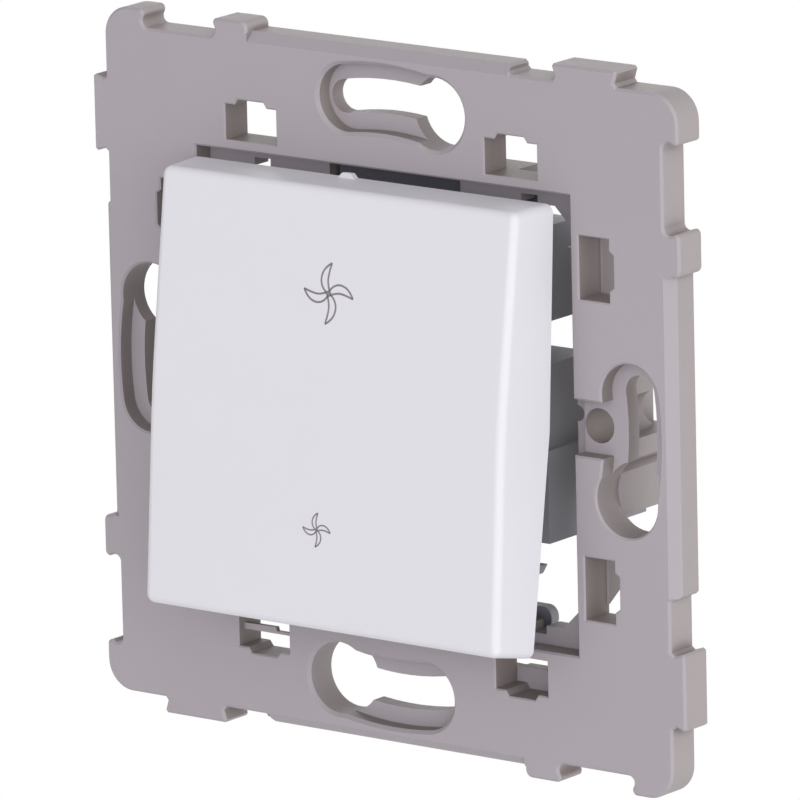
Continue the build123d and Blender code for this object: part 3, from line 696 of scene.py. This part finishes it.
def make_camera(scene, studio):
    """Long lens at the angle of the picture, with the plate a little left of the middle."""
    data = bpy.data.cameras.new("camera")
    data.lens = studio.lens
    data.sensor_width = SENSOR_WIDTH
    data.sensor_fit = "HORIZONTAL"
    camera = bpy.data.objects.new("camera", data)
    level = math.cos(studio.elevation)
    back = Vector((
        math.sin(studio.azimuth) * level,
        -math.cos(studio.azimuth) * level,
        math.sin(studio.elevation),
    ))
    right = Vector((math.cos(studio.azimuth), math.sin(studio.azimuth), 0.0))
    up = back.cross(right)
    turn = Matrix.Rotation(studio.roll, 3, back)
    right = turn @ right
    up = turn @ up
    plate_front = Vector((0.0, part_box("support_frame")[0].y, 0.0))
    place = plate_front + studio.distance * back + PLATE_LEFT * right + PLATE_DOWN * up
    camera.matrix_world = Matrix.Translation(place) @ Matrix((right, up, back)).transposed().to_4x4()
    scene.collection.objects.link(camera)
    scene.camera = camera


# Operators, in the order in which they run

class FANSWITCH_OT_mouldings(bpy.types.Operator):
    """Finish the moulded pieces: frame, rocker cap, switch body, cradle and plunger"""

    bl_idname = "fanswitch.mouldings"
    bl_label = "Mouldings"

    def execute(self, context):
        finish = context.scene.fan_switch_finish
        # Painted shade on the frame's walls and in its hollows
        dress("support_frame", plastic(
            "frame_plastic", finish.frame, wall_shade=finish.wall_shade, hollow_shade=finish.hollow_shade,
            mottle=0.05, smooth=0.5, rough=0.65))
        dress("rocker_cap", plastic(
            "rocker_plastic", finish.rocker, mottle=0.015, smooth=0.42, rough=0.5,
            bump=(0.05, 0.01), specular=0.28))
        # Painted shade on the body's front faces deep in hollows
        dress("switch_body", plastic(
            "body_plastic", finish.body, hollow_shade=finish.body_hollow_shade, shade_on_fronts=1.0,
            mottle=0.1, smooth=0.5, rough=0.7))
        dress("cradle", plastic("cradle_plastic", finish.cradle))
        dress("plunger", plastic("plunger_plastic", finish.plunger, smooth=0.3, rough=0.42))
        return {"FINISHED"}


class FANSWITCH_OT_metalwork(bpy.types.Operator):
    """Finish the metal pieces: spring, blade, contacts, strips, terminals and screws"""

    bl_idname = "fanswitch.metalwork"
    bl_label = "Metalwork"

    def execute(self, context):
        finish = context.scene.fan_switch_finish
        metals = [
            ("spring", "spring_steel", finish.steel, 0.6, (400.0, 6000.0, 400.0)),
            ("blade", "blade_copper", finish.copper, 0.55, (2500.0, 2500.0, 150.0)),
            ("contact_faces", "contact_silver", finish.silver, 0.6, (1500.0, 1500.0, 1500.0)),
            ("strips", "strip_brass", finish.brass, 0.6, (150.0, 2500.0, 2500.0)),
            ("terminals", "terminal_brass", finish.brass, 0.7, (2500.0, 200.0, 2500.0)),
            ("screws", "screw_steel", finish.steel, 0.7, (3000.0, 600.0, 600.0)),
        ]
        for pieces, name, colour, tarnish, stretch in metals:
            dress(pieces, metal(name, colour, tarnish, stretch))
        return {"FINISHED"}


class FANSWITCH_OT_webs(bpy.types.Operator):
    """Set the thin web in the lower left window and the stop behind the lower right one"""

    bl_idname = "fanswitch.webs"
    bl_label = "Window webs"

    def execute(self, context):
        skin = NODES["support_frame"].data.materials[0]
        for name, web in WEBS.items():
            mesh = web_mesh(name, web["outline"], web["depths"])
            mesh.materials.append(skin)
            show(name, mesh, "base")
        return {"FINISHED"}


class FANSWITCH_OT_signs(bpy.types.Operator):
    """Print the large and the small fan sign on the rocker"""

    bl_idname = "fanswitch.signs"
    bl_label = "Fan signs"

    def execute(self, context):
        signs = context.scene.fan_switch_signs
        finish = context.scene.fan_switch_finish
        ink = plastic("sign_ink", finish.ink, mottle=0.1, smooth=0.4, rough=0.5)
        tree = fan_sign_tree()
        places = [
            ("high_speed_sign", signs.high_radius, signs.high_across, signs.high_up),
            ("low_speed_sign", signs.low_radius, signs.low_across, signs.low_up),
        ]
        for name, radius, across, up in places:
            values = {
                "Blades": BLADES,
                "Line Width": signs.line_width * math.sqrt(radius / signs.high_radius),
                "Ink Height": signs.ink_height,
                "Hub Radius": HUB_SHARE * radius,
                "Ink": ink,
            }
            mesh = tree_result(tree, blade_curve(radius), values, name)
            mesh.transform(face_place(across, up, INK_LIFT * signs.ink_height))
            show(name, mesh, "rocker")
        return {"FINISHED"}


class FANSWITCH_OT_studio(bpy.types.Operator):
    """Set up the floor, the soft lamps and the camera"""

    bl_idname = "fanswitch.studio"
    bl_label = "Studio"

    def execute(self, context):
        scene = context.scene
        studio = scene.fan_switch_studio
        scene.view_settings.view_transform = "Standard"
        make_floor(scene, studio)
        make_sky(scene, studio)
        make_lamps(scene, studio)
        make_camera(scene, studio)
        return {"FINISHED"}


OPERATORS = (
    FANSWITCH_OT_mouldings,
    FANSWITCH_OT_metalwork,
    FANSWITCH_OT_webs,
    FANSWITCH_OT_signs,
    FANSWITCH_OT_studio,
)
GROUPS = {
    "fan_switch_finish": FanSwitchFinish,
    "fan_switch_signs": FanSwitchSigns,
    "fan_switch_studio": FanSwitchStudio,
}


class FANSWITCH_PT_panel(bpy.types.Panel):
    """Sidebar panel with the steps in order"""

    bl_idname = "FANSWITCH_PT_panel"
    bl_label = "Fan switch"
    bl_space_type = "VIEW_3D"
    bl_region_type = "UI"
    bl_category = "Fan switch"

    def draw(self, context):
        layout = self.layout
        for operator in OPERATORS:
            layout.operator(operator.bl_idname)
        for name, group in GROUPS.items():
            settings = getattr(context.scene, name)
            box = layout.box()
            for field in group.__annotations__:
                box.prop(settings, field)


def register():
    """Registers the classes and hangs the settings on the scene."""
    for group in GROUPS.values():
        bpy.utils.register_class(group)
    for name, group in GROUPS.items():
        setattr(bpy.types.Scene, name, bpy.props.PointerProperty(type=group))
    for operator in OPERATORS:
        bpy.utils.register_class(operator)
    bpy.utils.register_class(FANSWITCH_PT_panel)


def unregister():
    """Takes the classes and the settings away again."""
    bpy.utils.unregister_class(FANSWITCH_PT_panel)
    for operator in reversed(OPERATORS):
        bpy.utils.unregister_class(operator)
    for name in GROUPS:
        delattr(bpy.types.Scene, name)
    for group in GROUPS.values():
        bpy.utils.unregister_class(group)


def main():
    """Runs every step."""
    register()
    bpy.ops.fanswitch.mouldings()
    bpy.ops.fanswitch.metalwork()
    bpy.ops.fanswitch.webs()
    bpy.ops.fanswitch.signs()
    bpy.ops.fanswitch.studio()


if __name__ == "__main__":
    main()
